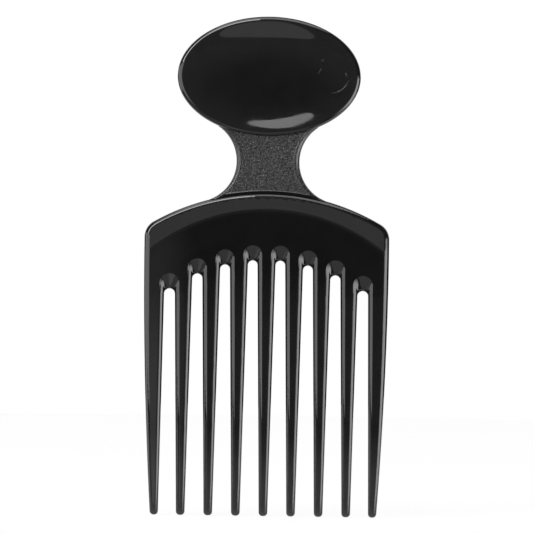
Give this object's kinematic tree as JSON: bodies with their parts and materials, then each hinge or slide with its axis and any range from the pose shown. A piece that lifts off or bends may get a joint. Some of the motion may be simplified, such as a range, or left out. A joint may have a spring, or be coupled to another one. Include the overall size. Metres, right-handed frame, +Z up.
{
  "type": "afro pick",
  "caption": "Flat hand comb with an oval grip pad, a waisted grained neck and an arched back carrying long tapered round-tipped teeth for lifting curly hair.",
  "frame": {"origin": "middle of the oval grip pad, on the plane halfway through the thickness", "axes": "+Z up along the length from the tooth tips to the pad, +Y through the thickness from the front face to the back face, +X across the teeth to the right seen from the front"},
  "size_m": [0.0734, 0.0076, 0.1498],
  "materials": {
    "gloss_black": "polished black moulding with fine handling scratches",
    "grained_black": "spark-eroded matt grain on the same black moulding"
  },
  "bodies": {
    "root": {"oval_grip_pad": "gloss_black", "comb_back": "gloss_black", "tooth_1": "gloss_black", "tooth_2": "gloss_black", "tooth_3": "gloss_black", "tooth_4": "gloss_black", "tooth_5": "gloss_black", "tooth_6": "gloss_black", "tooth_7": "gloss_black", "tooth_8": "gloss_black", "tooth_9": "gloss_black", "neck": "grained_black"}
  },
  "joints": []
}
